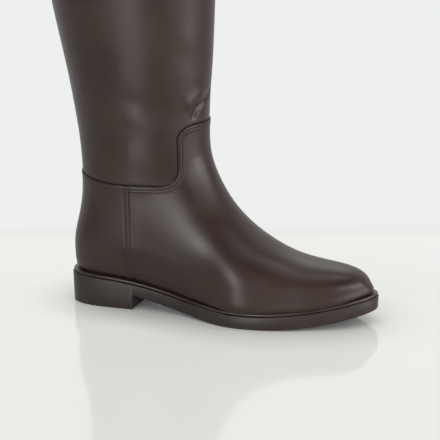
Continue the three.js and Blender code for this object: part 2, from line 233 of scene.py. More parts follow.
def lastPoint(t, u):
    # t runs along the rows, u from -1 (outer edge) over 0 (top, shin) to 1 (inner edge)
    t, u = np.broadcast_arrays(np.asarray(t, float), np.asarray(u, float))
    row = {name: spline(t) for name, spline in rowSplines.items()}
    onFoot = t <= cornerRow
    footX = np.clip(lowXFoot(t), last["reveal"], last["length"] - last["reveal"])
    lowX = np.where(onFoot, footX, lowXLeg(t))
    lowZ = np.where(onFoot, feather(footX), lowZLeg(t))
    angle = np.abs(u) * math.pi
    onTop = angle <= math.pi / 2
    topPower = 2 / row["squareTop"]
    cosine = np.clip(np.cos(angle), 0, 1)
    downTop = row["widest"] * (1 - cosine**topPower)
    downLow = 1 - (1 - row["widest"]) * np.clip(2 - 2 * np.abs(u), 0, 1) ** last["wrap"]
    down = np.where(onTop, downTop, downLow)
    x = row["topX"] + (lowX - row["topX"]) * down
    z = row["topZ"] + (lowZ - row["topZ"]) * down
    atEdge = np.minimum(x, last["length"] - last["reveal"])
    edge = np.where(u < 0, halfWidth(atEdge, last["reveal"], -1), halfWidth(atEdge, last["reveal"], 1))
    widest = np.where(u < 0, row["outer"], row["inner"])
    swell = opening((z - feather(x)) / row["tuck"], row["squareLow"])
    height = np.maximum(z, backHeights[0])
    roundTop = last["backRoundTop"]
    share = (np.minimum(height, roundTop) - backHeights[0]) / (roundTop - backHeights[0])
    power = last["heelRound"][1] + (2 - last["heelRound"][1]) * share
    atBack = opening((x - backAt(height)) / backRound(height), power)
    halfLow = (edge + (widest - edge) * swell) * atBack
    halfTop = widest * np.clip(np.sin(angle), 0, 1) ** topPower
    y = axisAt(lowX) + np.sign(u) * np.where(onTop, halfTop, halfLow)
    return np.stack([x, y, z], -1)


def linePoints(line):
    return lastPoint(line[:, 0], line[:, 1])


def outwardAt(t, u):
    t, u = np.broadcast_arrays(np.asarray(t, float), np.asarray(u, float))
    reach = 0.02
    alongFoot = lastPoint(t + reach, u) - lastPoint(t - reach, u)
    atBack = (np.abs(u) > 1 - reach) & (t > cornerRow)
    low = np.where(atBack, 1 - reach, np.maximum(u - reach, -1))
    high = np.where(atBack, reach - 1, np.minimum(u + reach, 1))
    blend = np.clip((np.abs(u) - 1 + 2 * reach) / (2 * reach), 0, 1)[..., None]
    around = lastPoint(t, high) - lastPoint(t, low)
    normal = -np.cross(alongFoot, around)
    normal /= np.maximum(np.linalg.norm(normal, axis=-1, keepdims=True), 1e-9)
    straightBack = np.stack([-np.ones_like(u), np.zeros_like(u), np.zeros_like(u)], -1)
    weight = np.where(atBack[..., None], blend * 0.5, 0)
    normal = normal * (1 - weight) + straightBack * weight
    return normal / np.linalg.norm(normal, axis=-1, keepdims=True)


print("last ready")

# seams, as lines on the last

seams = {
    "shaftBack": 120,  # height of the shaft's lower edge at the back
    "dip": (60, 112.5),  # where it comes down to its lowest, and how low
    "step": 106,  # where it turns up beside the vamp's tab
    "front": 163.5,  # height over the tab
    "radius": 13,
    "quarter": 61.3,  # from the back of the heel to the vamp's rear edge
    "topRows": (2.1, 4.7),  # stitch rows under the vamp's top edge
    "sideRows": (2.2, 5.2),  # and beside its edge on the quarter
    "frontRow": 14.1,  # row of the last near the front seam
    "backTurn": 0.996,  # how far round the shaft's seam is followed
    "ankleRows": (14.2, 11.6),  # rows that the quarter's seam crosses on its way down
    "ankleTurns": (0.2, 0.98),
    "footRows": (8, 12),
    "turnWeight": 12,  # one turn is about as long as this many rows
}
smallStep = 0.004  # in rows or turns, for slopes


def shaftSide(points):
    # above 0 on the shaft, below 0 on the foot
    x, z = points[..., 0], points[..., 2]
    dipX, dipZ = seams["dip"]
    step, front, radius = seams["step"], seams["front"], seams["radius"]
    backLine = dipZ + (seams["shaftBack"] - dipZ) * np.clip(1 - x / dipX, 0, 2) ** 2
    low = np.hypot(x - step + radius, z - dipZ - radius)
    high = np.hypot(x - step - radius, z - front + radius)
    belowStep = np.where(x < step - radius, z - backLine, radius - low)
    aboveStep = np.where(x < step + radius, high - radius, z - front)
    value = np.where(z > front - radius, aboveStep, step - x)
    return np.where(z < dipZ + radius, belowStep, value)


def belowShaft(points):
    return -shaftSide(points)


def vampSide(points):
    # above 0 on the vamp, below 0 on the quarter
    return points[..., 0] - seams["quarter"]


def slopeAt(measure, t, u):
    step = smallStep
    f = measure(lastPoint(t, u))
    ft = (measure(lastPoint(t + step, u)) - measure(lastPoint(t - step, u))) / (2 * step)
    fu = (measure(lastPoint(t, u + step)) - measure(lastPoint(t, u - step))) / (2 * step)
    return f, ft, fu


def follow(measure, t, u, side, step, end):
    # walks the line where measure is 0, from (t, u) on the given side until |u| is past end
    weight = seams["turnWeight"]
    line = []
    way = None
    for _ in range(2000):
        for _ in range(4):
            f, ft, fu = slopeAt(measure, t, u)
            if abs(fu) < 1e-3 or not line:
                t -= f / ft
            else:
                size = ft**2 + (fu / weight) ** 2
                t -= f * ft / size
                u -= f * fu / weight**2 / size
        line.append((float(t), float(u)))
        if abs(u) > end:
            break
        f, ft, fu = slopeAt(measure, t, u)
        along = np.array([-fu, ft])
        reach = 1e-3 / max(abs(along))
        ahead = lastPoint(t + along[0] * reach, u + along[1] * reach)
        size = np.linalg.norm(ahead - lastPoint(t, u)) / reach
        along = along / size
        if way is None:
            way = 1 if along[1] * side > 0 else -1
        t += along[0] * way * step
        u += along[1] * way * step
        u = min(max(u, -1), 1)
    return np.array(line)


def stepAside(line, distance):
    # the line moved over the surface by distance, to its right as it runs
    moved = []
    points = linePoints(line)
    tangents = np.gradient(points, axis=0)
    normals = outwardAt(line[:, 0], line[:, 1])
    across = np.cross(tangents, normals)
    across /= np.linalg.norm(across, axis=1, keepdims=True)
    step = smallStep
    for (t, u), way in zip(line, across):
        alongT = (lastPoint(t + step, u) - lastPoint(t - step, u)) / (2 * step)
        alongU = (lastPoint(t, u + step) - lastPoint(t, u - step)) / (2 * step)
        basis = np.stack([alongT, alongU], 1)
        shift = np.linalg.lstsq(basis, way * distance, rcond=None)[0]
        moved.append((t + shift[0], min(max(u + shift[1], -1), 1)))
    return np.array(moved)


def shaftLine(side):
    # from the front of the ankle round to the back
    return follow(shaftSide, seams["frontRow"], side * 1e-4, side, 1.0, seams["backTurn"])


def halved(measure, low, high):
    # where measure crosses 0, from above at low to below at high
    for _ in range(40):
        middle = (low + high) / 2
        if measure(middle) > 0:
            low = middle
        else:
            high = middle
    return middle


def quarterLine(side):
    # down the ankle row by row, then round under the foot to the sole
    line = []
    for row in np.linspace(*seams["ankleRows"], 90):
        line.append((row, side * halved(lambda u: vampSide(lastPoint(row, side * u)), *seams["ankleTurns"])))
    for u in np.linspace(line[-1][1], side, 61)[1:]:
        line.append((halved(lambda row: vampSide(lastPoint(row, u)), *seams["footRows"]), u))
    line = np.array(line)
    return line[shaftSide(linePoints(line)) < 0]


shaftLines = {side: shaftLine(side) for side in (-1, 1)}
quarterLines = {side: quarterLine(side) for side in (-1, 1)}
print("seams", {side: len(line) for side, line in shaftLines.items()})


def distanceTo(lines):
    points = np.concatenate([linePoints(line) for line in lines])
    tree = KDTree(len(points))
    for i, point in enumerate(points):
        tree.insert(point, i)
    tree.balance()

    def distance(spots):
        flat = spots.reshape(-1, 3)
        found = np.array([tree.find(spot)[2] for spot in flat])
        return found.reshape(spots.shape[:-1])

    return distance


def denser(line, count):
    places = np.linspace(0, len(line) - 1, count)
    spots = np.arange(len(line))
    return np.stack([np.interp(places, spots, line[:, i]) for i in (0, 1)], 1)


seamPoints = {"shaft": 1200, "quarter": 900, "stitched": 500}
toShaftSeam = distanceTo([denser(line, seamPoints["shaft"]) for line in shaftLines.values()])
toQuarterSeam = distanceTo([denser(line, seamPoints["quarter"]) for line in quarterLines.values()])

# dents and folds of the worn-in leather

# each follows a path on the leather; width is to either side, depth below 0 goes in
dents = [
    {"path": [(70, -43, 184), (90, -39, 178)], "width": 10, "depth": -1.0},
    {"path": [(76, -41, 171), (94, -35, 162)], "width": 9, "depth": 0.8},
    {"path": [(70, -39, 136), (88, -36, 134)], "width": 11, "depth": 0.5},
    {"path": [(113, -27, 222), (119, -18, 216)], "width": 9, "depth": -0.6},
    {"path": [(114, -28, 236), (117, -24, 234)], "width": 10, "depth": 0.6},
    {
        "path": [(124, 5, 188), (122.4, -8.5, 181.5), (119, -15.9, 177), (117.3, -18, 170)],
        "width": 2.7,
        "depth": -1.5,
    },
    {"path": [(120.5, -13, 188.5), (114.5, -22, 182)], "width": 5.5, "depth": 1.3},
    {"path": [(122.6, -6, 175), (121.5, -9, 169)], "width": 6.5, "depth": 0.6},
]


def smoothStep(value, start, end):
    share = np.clip((value - start) / (end - start), 0, 1)
    return share * share * (3 - 2 * share)


def bell(away, width):
    # 1 where away is 0, falling off to both sides
    return np.exp(-((away / width) ** 2))


def dentAt(points):
    total = np.zeros(points.shape[:-1])
    for dent in dents:
        path = np.array(dent["path"], float)
        near = np.full(points.shape[:-1], np.inf)
        for start, way in zip(path, np.diff(path, axis=0)):
            share = np.clip(((points - start) @ way) / way.dot(way), 0, 1)
            near = np.minimum(near, np.linalg.norm(points - start - share[..., None] * way, axis=-1))
        total += dent["depth"] * bell(near, dent["width"])
    return total


# meshes


def meshObject(name, vertices, faces, attributes, material):
    mesh = bpy.data.meshes.new(name)
    mesh.from_pydata([tuple(v) for v in vertices], [], [tuple(f) for f in faces])
    mesh.update()
    for key, values in attributes.items():
        layer = mesh.attributes.new(key, "FLOAT", "POINT")
        layer.data.foreach_set("value", np.asarray(values, np.float32))
    mesh.polygons.foreach_set("use_smooth", [True] * len(mesh.polygons))
    mesh.materials.append(material)
    made = bpy.data.objects.new(name, mesh)
    bpy.context.scene.collection.objects.link(made)
    return made


grid = {
    "evenRow": 14.5,  # the row that is cut into even steps
    "snapReach": 0.52,  # in cells: points nearer than this to a seam move onto it
    "snapLimit": 2.5,  # in millimetres
    "probe": 0.05,  # in cells
}


def gridSamples(spec):
    # spec is a list of (row from, row to, steps)
    values = []
    for start, end, steps in spec:
        values.extend(start + (end - start) * i / steps for i in range(steps))
    values.append(spec[-1][1])
    return np.array(values, float)


def turnSamples(count):
    # even steps round the ankle just above the vamp's tab
    fine = np.linspace(0, 1, 2001)
    points = lastPoint(grid["evenRow"], fine)
    run = np.concatenate([[0], np.cumsum(np.linalg.norm(np.diff(points, axis=0), axis=1))])
    half = np.interp(np.linspace(0, run[-1], count + 1), run, fine)
    return np.concatenate([-half[:0:-1], half])


def snap(tGrid, uGrid, measures):
    # moves the grid's points that are next to a seam onto it, and says which they are
    tIndex, uIndex = np.arange(len(tGrid), dtype=float), np.arange(len(uGrid), dtype=float)
    i, j = np.meshgrid(tIndex, uIndex, indexing="ij")
    movable = (j > 0) & (j < len(uGrid) - 1)
    probe = grid["probe"]

    def at(iNow, jNow):
        return lastPoint(np.interp(iNow, tIndex, tGrid), np.interp(jNow, uIndex, uGrid))

    onLine = []
    for measure in measures:
        near = None
        for _ in range(6):
            f = measure(at(i, j))
            fi = (measure(at(i + probe, j)) - measure(at(i - probe, j))) / (2 * probe)
            fj = (measure(at(i, j + probe)) - measure(at(i, j - probe))) / (2 * probe)
            fj = np.where(movable, fj, 0)
            size = np.maximum(fi**2 + fj**2, 1e-9)
            if near is None:
                near = (np.abs(f) / np.sqrt(size) < grid["snapReach"]) & (np.abs(f) < grid["snapLimit"])
                for taken in onLine:
                    near &= ~taken
            i = np.where(near, i - f * fi / size, i)
            j = np.where(near, j - f * fj / size, j)
        onLine.append(near)
    return np.interp(i, tIndex, tGrid), np.interp(j, uIndex, uGrid), onLine


def trimmed(tGrid, uGrid, cuts, creases=()):
    # keeps what lies where every cut is above 0, with points along the creases too
    t, u, onLine = snap(tGrid, uGrid, [*cuts, *creases])
    points = lastPoint(t, u)
    values = [np.where(on, 0, cut(points)) for cut, on in zip(cuts, onLine)]
    columns = t.shape[1]
    faces = []

    def number(i, j):
        if i == 0 and tGrid[0] == 0 and j > columns // 2:
            return columns - 1 - j
        if j == columns - 1 and t[i, j] > cornerRow:
            return i * columns  # the leg's sections close at the back
        return i * columns + j

    for i in range(t.shape[0] - 1):
        for j in range(columns - 1):
            corners = [(i, j), (i + 1, j), (i + 1, j + 1), (i, j + 1)]
            loops = [corners]
            if any(all(value[c] <= 0 for c in corners) for value in values):
                continue
            for value in values:
                heights = [value[c] for c in corners]
                for a, b, c, d in ((0, 1, 2, 3), (1, 2, 3, 0)):
                    if heights[a] == 0 and heights[c] == 0 and heights[b] * heights[d] < 0:
                        loops = [[corners[a], corners[b], corners[c]], [corners[a], corners[c], corners[d]]]
            for loop in loops:
                if all(sum(value[c] for c in loop) > 0 for value in values):
                    face = [number(*c) for c in loop]
                    slim = [f for k, f in enumerate(face) if f != face[k - 1]]
                    if len(slim) > 2:
                        faces.append(slim)
    return t.ravel(), u.ravel(), faces


ease = {
    "toe": (168, 206),  # x where the easing starts, and where it is full
    "toeHeight": (2, 9),  # the same, as heights above the welt
    "toeShare": 1.0,
    "lower": 0.9,  # how far the toe settles
    "ankleWidth": 0.9,  # in rows, to either side of the row where the foot's sections meet the leg's
    "ankleHeight": (8, 20),
    "ankleShare": 0.55,
    "passes": 110,
    "pace": 0.5,  # share of the way that a point goes in one pass
    "least": 0.01,  # points with a smaller share stay
}


def softened(t, base, normal, faces):
    # eases the corner of the toe and the bend of the ankle: each point moves towards its neighbours
    height = base[:, 2] - feather(base[:, 0])
    toe = smoothStep(base[:, 0], *ease["toe"]) * smoothStep(height, *ease["toeHeight"])
    ankle = bell(t - cornerRow, ease["ankleWidth"]) * smoothStep(height, *ease["ankleHeight"])
    pairs = np.array([pair for face in faces for pair in zip(face, face[1:] + face[:1])])
    used = set(map(tuple, pairs))
    rim = np.array([v for pair in used if pair[::-1] not in used for v in pair])
    weight = np.maximum(toe * ease["toeShare"], ankle * ease["ankleShare"])
    weight[rim] = 0
    pairs = pairs[(weight[pairs] > ease["least"]).any(axis=1)]
    near = np.maximum(np.bincount(pairs[:, 0], minlength=len(base)), 1)
    both = np.concatenate([base, normal], 1)
    for _ in range(ease["passes"]):
        total = np.stack([np.bincount(pairs[:, 0], both[pairs[:, 1], k], len(base)) for k in range(6)], 1)
        moved = (total / near[:, None] - both) * (weight * ease["pace"])[:, None]
        both = both + np.where(weight[:, None] > ease["least"], moved, 0)
    normal = both[:, 3:] / np.linalg.norm(both[:, 3:], axis=1, keepdims=True)
    return both[:, :3] - normal * (ease["lower"] * toe)[:, None], normal


# across a panel's rim: share of the thickness, and share of the bulge
rimShells = [(0.25, 0.7), (0.5, 1.0), (0.75, 0.7)]


def leatherPanel(name, sheet, lift, thickness, attributes, material, bulge):
    # a closed panel: outer face lifted from the last, inner face below it, round rim
    t, u, faces = sheet
    used = np.unique([v for face in faces for v in face])
    index = {int(v): k for k, v in enumerate(used)}
    faces = [[index[v] for v in face] for face in faces]
    t, u = t[used], u[used]
    base, normal = softened(t, lastPoint(t, u), outwardAt(t, u), faces)
    top = lift(base)
    under = top - thickness(base)
    outer = base + normal * top[:, None]
    inner = base + normal * under[:, None]
    count = len(base)
    edgeUse = {}
    for face in faces:
        for a, b in zip(face, face[1:] + face[:1]):
            edgeUse[(a, b)] = edgeUse.get((a, b), 0) + 1
    rim = [(a, b) for a, b in edgeUse if (b, a) not in edgeUse]
    sideways = np.zeros((count, 3))
    for a, b in rim:
        way = np.cross(outer[b] - outer[a], normal[a])
        way /= max(np.linalg.norm(way), 1e-9)
        sideways[a] += way
        sideways[b] += way
    rimPoints = sorted({v for pair in rim for v in pair})
    sideways /= np.maximum(np.linalg.norm(sideways, axis=1, keepdims=True), 1e-9)
    vertices = [outer, inner]
    rimIndex = {v: k for k, v in enumerate(rimPoints)}
    spots = np.array(rimPoints)
    for share, reach in rimShells:
        vertices.append(outer[spots] * (1 - share) + inner[spots] * share + sideways[spots] * bulge * reach)
    allFaces = [list(face) for face in faces]
    allFaces += [[v + count for v in reversed(face)] for face in faces]

    def ring(level, v):
        if level == 0:
            return v
        if level == len(rimShells) + 1:
            return v + count
        return 2 * count + (level - 1) * len(rimPoints) + rimIndex[v]

    for a, b in rim:
        for level in range(len(rimShells) + 1):
            allFaces.append([ring(level, b), ring(level, a), ring(level + 1, a), ring(level + 1, b)])
    stacked = np.concatenate(vertices)
    values = {}
    for key, measure in attributes.items():
        own = measure(base)
        values[key] = np.concatenate([own, own] + [own[spots]] * len(rimShells))
    made = meshObject(name, place(stacked), allFaces, values, material)
    cut = {frozenset((a + k, b + k)) for a, b in rim for k in (0, count)}
    for edge in made.data.edges:
        if frozenset(edge.vertices) in cut:
            edge.use_edge_sharp = True
    return made


# first row, last row, steps between them
footRows = [
    (0, 1, 4), (1, 2, 4), (2, 3, 5), (3, 4, 6), (4, 5, 8), (5, 6, 12), (6, 7, 14), (7, 8, 16),
    (8, 9, 18), (9, 10, 20), (10, 11, 22), (11, 12, 24), (12, 13, 16), (13, 14, 20), (14, 15, 20),
    (15, 15.6, 10),
]
legRows = [
    (11.8, 12, 4), (12, 13, 16), (13, 14, 20), (14, 15, 20), (15, 16, 16),
    (16, 17, 18), (17, 18, 18), (18, 19, 24), (19, 20, 28),
]
footGrid, legGrid, turns = gridSamples(footRows), gridSamples(legRows), turnSamples(116)

upper = {
    "leather": 1.25,  # thickness
    "lap": 6,  # how far a panel runs on under its neighbour
    "trim": 0.15,  # how far the vamp and quarter stop short of the seam line
    "rim": 0.35,  # how far a cut edge bulges
    "turnIn": (0.9, 4),  # the foot of the upper curls in: how far, and below which height
    "vampLift": 0.65,  # the vamp's edge lies over its neighbours
    "liftFade": 11,  # how far from a seam that goes
    "liftHeight": (0, 30),
    "tabLift": 0.5,  # the tongue of the vamp curls out at the front
    "tabFade": 2.2,
    "tabWidth": (-13, -5),  # from its sides to its middle
    "tabHeight": (-9, -3),  # from the top of the tongue
    "ballFull": 3.0,  # the leather swells over the welt from the ball to the toe
    "ballStart": (130, 165),
    "ballEnd": (238, 262),
    "ballHeight": (3, 12),  # middle and reach
    "quarterLift": 0.55,
    "quarterUnder": 0.75,  # how far the quarter drops where it runs on under the vamp
    "quarterRamp": (-0.4, 1.0),
    "shaftCrease": (0.2, 1.5),  # depth and reach, along the vamp's edge
    "shaftUnder": 1.0,
    "shaftRamp": (-0.1, 1.3),
    "collarFold": 12,  # depth of the leather turned in at the collar
    "foldStep": 0.4,
    "foldThickness": 2.3,
}


def heightUp(base):
    # above the line where the upper meets the welt
    return base[..., 2] - feather(np.clip(base[..., 0], last["reveal"], last["length"] - last["reveal"]))


def turnIn(base):
    depth, height = upper["turnIn"]
    return -depth * np.clip(1 - heightUp(base) / height, 0, 1) ** 2


def vampLift(base):
    top = bell(toShaftSeam(base), upper["liftFade"])
    side = bell(toQuarterSeam(base), upper["liftFade"]) * smoothStep(heightUp(base), *upper["liftHeight"])
    lift = upper["vampLift"] * np.maximum(top, side)
    tab = upper["tabLift"] * bell(toShaftSeam(base), upper["tabFade"])
    tab = tab * smoothStep(-np.abs(base[..., 1]), *upper["tabWidth"])
    tab = tab * smoothStep(base[..., 2] - seams["front"], *upper["tabHeight"])
    middle, reach = upper["ballHeight"]
    full = smoothStep(base[..., 0], *upper["ballStart"]) * (1 - smoothStep(base[..., 0], *upper["ballEnd"]))
    ball = upper["ballFull"] * full * bell(heightUp(base) - middle, reach)
    return lift + tab + ball + turnIn(base) + dentAt(base)


def quarterLift(base):
    under = smoothStep(vampSide(base), *upper["quarterRamp"])
    lift = upper["quarterLift"] * bell(toShaftSeam(base), upper["liftFade"])
    return lift * (1 - under) - upper["quarterUnder"] * under + turnIn(base) + dentAt(base)


def shaftLift(base):
    side = shaftSide(base)
    depth, reach = upper["shaftCrease"]
    under = smoothStep(-side, *upper["shaftRamp"])
    return dentAt(base) - depth * bell(side, reach) - upper["shaftUnder"] * under


def leatherThickness(base):
    return np.full(base.shape[:-1], upper["leather"])


def shaftThickness(base):
    start = last["height"] - upper["collarFold"]
    fold = smoothStep(base[..., 2], start - upper["foldStep"], start)
    return upper["leather"] + (upper["foldThickness"] - upper["leather"]) * fold


def onFoot(points):
    # above 0 where the vamp and the quarter are
    return belowShaft(points) - upper["trim"]


def onVamp(points):
    return vampSide(points) - upper["trim"]


def onQuarter(points):
    return upper["lap"] - vampSide(points)


def onShaft(points):
    return shaftSide(points) + upper["lap"]


print("last cut into panels")

# node trees: arithmetic on sockets, and one method for every other node


class Signal:
    def __init__(self, graph, socket):
        self.graph, self.socket = graph, socket

    def math(self, operation, *values):
        return self.graph.node("ShaderNodeMath", {"operation": operation}, dict(enumerate(values)))

    def __add__(self, other):
        return self.math("ADD", self, other)

    def __sub__(self, other):
        return self.math("SUBTRACT", self, other)

    def __rsub__(self, other):
        return self.math("SUBTRACT", other, self)

    def __mul__(self, other):
        return self.math("MULTIPLY", self, other)

    def __truediv__(self, other):
        return self.math("DIVIDE", self, other)

    def __rtruediv__(self, other):
        return self.math("DIVIDE", other, self)

    __radd__, __rmul__ = __add__, __mul__

    def bell(self, centre, width):
        # 1 at centre, falling away on both sides
        away = (self - centre) / width
        return self.math("EXPONENT", away * away * -1)

    def between(self, low, high, **ends):
        settings = {"clamp": True, "interpolation_type": "SMOOTHSTEP"}
        inputs = {"Value": self, "From Min": low, "From Max": high}
        inputs.update({key.replace("_", " "): value for key, value in ends.items()})
        return self.graph.node("ShaderNodeMapRange", settings, inputs)


class Graph:
    def __init__(self, tree):
        self.tree = tree
        tree.nodes.clear()

    def node(self, kind, settings=None, inputs=None, output=0):
        made = self.tree.nodes.new(kind)
        for key, value in (settings or {}).items():
            setattr(made, key, value)
        for key, value in (inputs or {}).items():
            if isinstance(value, Signal):
                self.tree.links.new(value.socket, made.inputs[key])
            else:
                made.inputs[key].default_value = value
        return Signal(self, made.outputs[output]) if made.outputs else None

    def spot(self):
        return self.node("ShaderNodeTexCoord", output="Object")

    def attribute(self, name):
        return self.node("ShaderNodeAttribute", {"attribute_name": name}, output="Fac")

    def noise(self, scale, detail=2.0, rough=0.5, stretch=(1, 1, 1)):
        where = self.node("ShaderNodeMapping", None, {"Vector": self.spot(), "Scale": stretch})
        inputs = {"Vector": where, "Scale": scale, "Detail": detail, "Roughness": rough}
        return self.node("ShaderNodeTexNoise", None, inputs)

    def cells(self, scale):
        inputs = {"Vector": self.spot(), "Scale": scale, "Smoothness": 0.6}
        return self.node("ShaderNodeTexVoronoi", {"feature": "SMOOTH_F1"}, inputs)

    def mix(self, factor, first, second):
        # colours are (r, g, b, 1) or links; sockets 6 and 7 are the colour inputs
        return self.node("ShaderNodeMix", {"data_type": "RGBA"}, {0: factor, 6: first, 7: second}, 2)

    def end(self, shader, kind="ShaderNodeOutputMaterial"):
        self.node(kind, None, {"Surface": shader})

    def surface(self, height, **inputs):
        values = {key.replace("_", " "): value for key, value in inputs.items()}
        bumps = {"Height": height, "Distance": 1.0, "Strength": 1.0}
        values["Normal"] = self.node("ShaderNodeBump", None, bumps)
        self.end(self.node("ShaderNodeBsdfPrincipled", None, values, "BSDF"))


def newMaterial(name):
    made = bpy.data.materials.new(name)
    made.use_nodes = True
    return made, Graph(made.node_tree)


leather = {
    "dark": (0.0175, 0.0085, 0.0063, 1),
    "mid": (0.0242, 0.0124, 0.0092, 1),
    # painted shade in the seam's crease and along the stitch rows, and also the dark of the cut edge
    "edge": (0.005, 0.0025, 0.002, 1),
    "roughness": (0.36, 0.46),
    "shine": 0.32,
    "cloudScale": 22,  # scales are per metre
    "fineScale": 260,
    "grainScale": 780,
    "grain": 2.6e-5,  # metres
    "pinch": 2.6e-4,  # how deep a stitch row draws the leather in
    "seamShade": 0.6,  # how far the painted shade in the seam's crease and the dark of the cut edge reach, in millimetres
    "rowWidth": 0.6,
    "rowShade": (0.75, 0.95),  # reach and strength of the painted shade along a stitch row
}


def makeLeather(name, rows):
    # rows gives, for each distance-to-seam attribute in mm, how far its stitch rows lie from the edge
    made, skin = newMaterial(name)
    cloud = skin.noise(leather["cloudScale"], 3).between(0.35, 0.65)
    fine = skin.noise(leather["fineScale"], 3)
    pebble = skin.cells(leather["grainScale"])
    colour = skin.mix(cloud, leather["dark"], leather["mid"])
    height = pebble * leather["grain"] + fine * (leather["grain"] * 1.6)
    reach, strength = leather["rowShade"]
    for key, gaps in rows.items():
        run = skin.attribute(key)
        # painted shade: darkens the leather at the seam's crease and cut edge, and along the stitch rows
        shade = run.bell(0.0, leather["seamShade"])
        for gap in gaps:
            height = height - run.bell(gap, leather["rowWidth"]) * leather["pinch"]
            shade = shade + run.bell(gap, reach) * strength
        colour = skin.mix(shade, colour, leather["edge"])
    low, high = leather["roughness"]
    roughness = low + (high - low) * (cloud * 0.6 + fine * 0.4)
    skin.surface(height, Base_Color=colour, Roughness=roughness, Specular_IOR_Level=leather["shine"])
    return made


rubberLook = {
    "dark": (0.02, 0.0135, 0.0118, 1),
    "light": (0.027, 0.0185, 0.0165, 1),
    "scuff": (0.05, 0.038, 0.034, 1),
    "scuffStretch": (0.3, 0.3, 2.5),  # scuffs run along the edge
    "scuffShare": 0.3,
    "roughness": (0.44, 0.15),  # plain, and what a scuff adds
    "shine": 0.3,
    "bumps": (1.2e-5, 2e-5),  # fine and broad, in metres
}


def makeRubber():
    made, rubber = newMaterial("soleRubber")
    cloud = rubber.noise(30, 2)
    fine = rubber.noise(1500, 2)
    scuff = rubber.noise(90, 4, 0.7, rubberLook["scuffStretch"]).between(0.62, 0.8)
    colour = rubber.mix(cloud.between(0.3, 0.7), rubberLook["dark"], rubberLook["light"])
    colour = rubber.mix(scuff * rubberLook["scuffShare"], colour, rubberLook["scuff"])
    plain, rougher = rubberLook["roughness"]
    small, broad = rubberLook["bumps"]
    rubber.surface(
        fine * small + cloud * broad,
        Base_Color=colour,
        Roughness=plain + scuff * rougher,
        Specular_IOR_Level=rubberLook["shine"],
    )
    return made


# dark and light tone, roughness and what the pattern adds to it, grain per metre, its detail, its height
plainLooks = {
    "weltFinish": ((0.02, 0.012, 0.01, 1), (0.032, 0.02, 0.017, 1), 0.3, 0.12, 700, 2, 1e-5),
    "liningLeather": ((0.09, 0.055, 0.038, 1), (0.14, 0.09, 0.062, 1), 0.6, 0.1, 900, 3, 1.5e-5),
    "insoleLeather": ((0.22, 0.13, 0.075, 1), (0.33, 0.21, 0.125, 1), 0.5, 0.1, 700, 3, 2e-5),
    "thread": ((0.055, 0.032, 0.027, 1), (0.1, 0.06, 0.05, 1), 0.6, 0.1, 4000, 3, 2e-5),
    # painted shade: near-black blobs that stand for the shade in the needle holes
    "holeShade": ((0.002, 0.0012, 0.001, 1), (0.004, 0.002, 0.0018, 1), 0.9, 0.1, 4000, 3, 1e-5),
}


def makeWelt():
    dark, light, roughness, rougher, scale, detail, bump = plainLooks["weltFinish"]
    made, strip = newMaterial("weltFinish")
    cloud = strip.noise(60, 2)
    colour = strip.mix(cloud.between(0.3, 0.7), dark, light)
    fine = strip.noise(scale, detail)
    strip.surface(fine * bump, Base_Color=colour, Roughness=roughness + cloud * rougher)
    return made


def makePlain(name):
    dark, light, roughness, rougher, scale, detail, bump = plainLooks[name]
    made, plain = newMaterial(name)
    fine = plain.noise(scale, detail)
    cloud = plain.noise(35, 2)
    colour = plain.mix((fine * 0.5 + cloud * 0.5).between(0.3, 0.7), dark, light)
    plain.surface(fine * bump, Base_Color=colour, Roughness=roughness + fine * rougher)
    return made


vampLeather = makeLeather("vampLeather", {"shaftSeam": seams["topRows"], "quarterSeam": seams["sideRows"]})
quarterLeather = makeLeather("quarterLeather", {"shaftSeam": seams["topRows"][:1]})
shaftLeather = makeLeather("shaftLeather", {"shaftSeam": ()})
soleRubber = makeRubber()
weltFinish = makeWelt()
liningFinish = makePlain("liningLeather")
insoleFinish = makePlain("insoleLeather")
threadFinish = makePlain("thread")
holeShadeFinish = makePlain("holeShade")

seamRuns = {"shaftSeam": toShaftSeam, "quarterSeam": toQuarterSeam}
vampSheet = trimmed(footGrid, turns, [onFoot, onVamp])
quarterSheet = trimmed(footGrid, turns, [onFoot, onQuarter])
shaftSheet = trimmed(legGrid, turns, [onShaft], [shaftSide])
cutEdge = upper["rim"]
vamp = leatherPanel("vampLeather", vampSheet, vampLift, leatherThickness, seamRuns, vampLeather, cutEdge)
quarter = leatherPanel(
    "quarterLeather", quarterSheet, quarterLift, leatherThickness, seamRuns, quarterLeather, cutEdge
)
shaft = leatherPanel("shaftLeather", shaftSheet, shaftLift, shaftThickness, seamRuns, shaftLeather, cutEdge)

# lining, inside the leather

liningCut = {
    "rows": [(2, 12, 40), (12, 16, 24), (16, 20, 32)],
    "turns": 40,
    "gap": 1.6,  # from the last's surface in to the lining's
    "thickness": 0.5,
    "rim": 0.1,
}


def liningLift(base):
    return dentAt(base) - liningCut["gap"]


def liningThickness(base):
    return np.full(len(base), liningCut["thickness"])


liningSheet = trimmed(gridSamples(liningCut["rows"]), turnSamples(liningCut["turns"]), [])
lining = leatherPanel("lining", liningSheet, liningLift, liningThickness, {}, liningFinish, liningCut["rim"])
print("upper", {o.name: len(o.data.polygons) for o in (vamp, quarter, shaft, lining)})

# sole, welt and insole: outlines laid over each other

sole = {
    "stations": 110,  # along the boot
    "taper": 0.45,  # the tread stands back from the top of the edge
    "edge": 0.4,  # rounding of the tread's edge
    "edgeMiddle": 0.3,  # share of that rounding for the line in its middle
    "breast": (0.0, 0.25, 0.7, 1.8),  # places across the fillet behind the heel
    "breastRise": (0.0, 0.86, 0.955, 1.0),
    "topEdge": [(0.05, -0.9), (0.3, -0.3), (0.95, -0.02)],  # inset and height, round the upper edge
    "step": (12.0, 12.6),  # insets where the top steps up to the insole
    "stepGap": -0.3,
}


def stations(inset, extra=()):
    start, end = inset, last["length"] - inset
    share = (1 - np.cos(math.pi * np.linspace(0, 1, sole["stations"] + 1))) / 2
    xs = start + (end - start) * share
    return np.array(sorted({*xs.round(4), *extra}))


